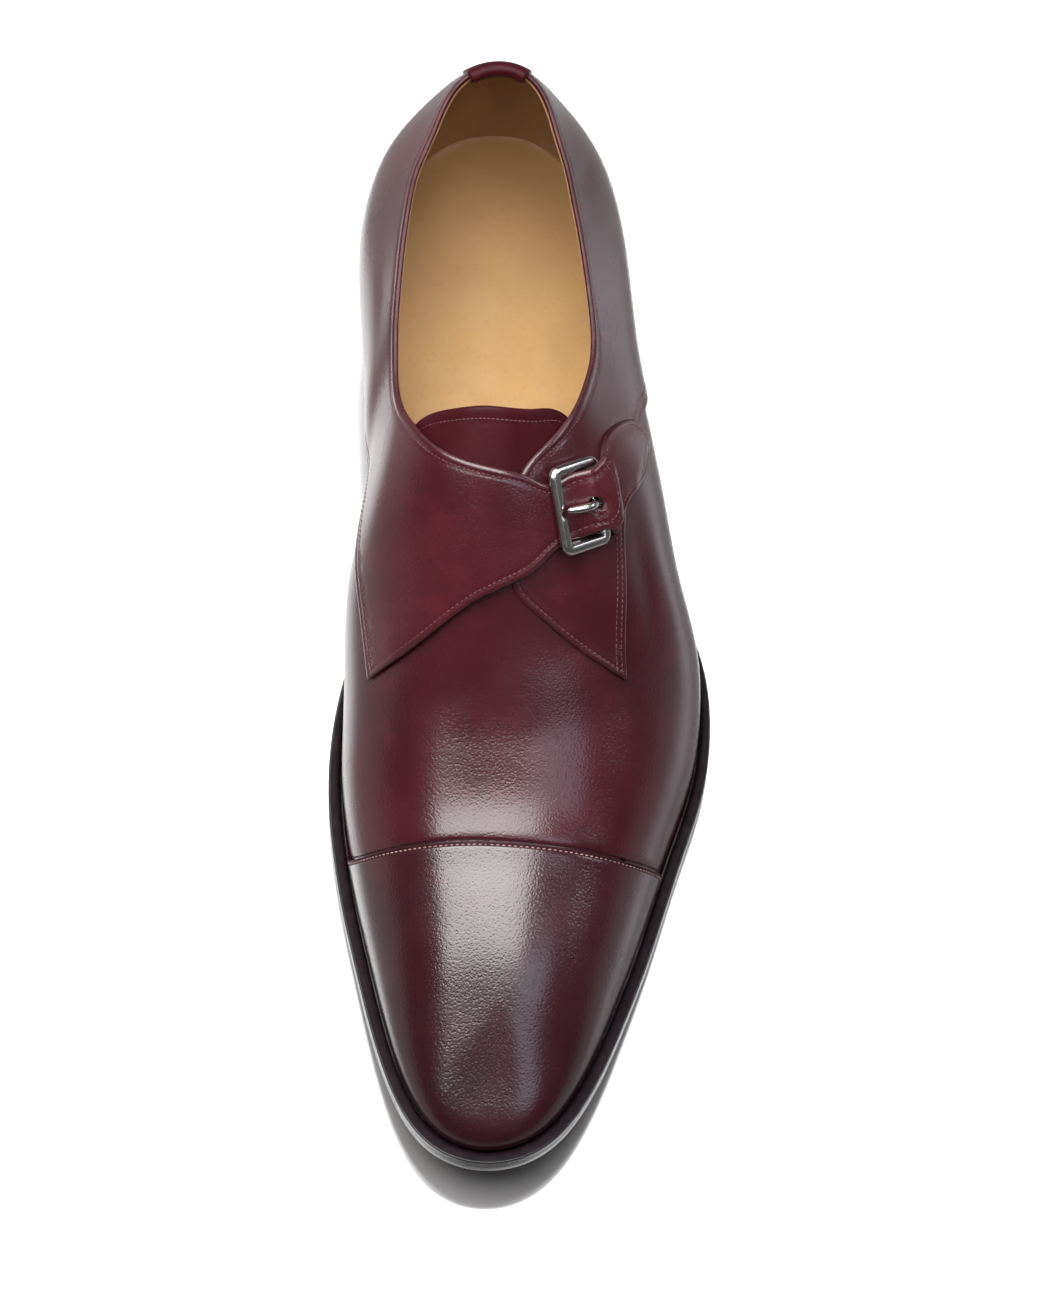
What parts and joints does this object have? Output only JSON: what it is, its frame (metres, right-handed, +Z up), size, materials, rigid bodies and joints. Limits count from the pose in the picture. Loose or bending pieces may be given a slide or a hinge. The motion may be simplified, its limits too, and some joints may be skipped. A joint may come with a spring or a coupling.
{
  "type": "monk strap shoe",
  "caption": "Left cap-toe monk-strap dress shoe: hollow polished burgundy calf upper, buckled instep strap, tan lining, welted leather sole and stacked heel",
  "frame": {"origin": "middle of the shoe's box, on the floor it stands on", "axes": "toe along -Y, heel along +Y, +Z up, +X to the wearer's left, which is the outer side of this left shoe"},
  "size_m": [0.1056, 0.3038, 0.1058],
  "materials": {
    "outsole": "black leather sole, satin",
    "welt": "black leather strip, polished edge",
    "heel_stack": "black stacked leather, polished edge",
    "top_lift": "black rubber, matte",
    "insole": "tan leather sock, satin",
    "upper": "burgundy calf, polished",
    "tongue": "burgundy calf, polished",
    "strap": "burgundy calf, polished",
    "stay": "burgundy calf, polished",
    "buckle_frame": "nickel plated, polished",
    "prong": "nickel plated, polished",
    "heel_tab": "burgundy calf, polished"
  },
  "bodies": {
    "root": {"outsole": "outsole", "welt": "welt", "heel_stack": "heel_stack", "top_lift": "top_lift", "insole": "insole", "upper": "upper", "tongue": "tongue", "strap": "strap", "stay": "stay", "buckle_frame": "buckle_frame", "prong": "prong", "heel_tab": "heel_tab"}
  },
  "joints": []
}
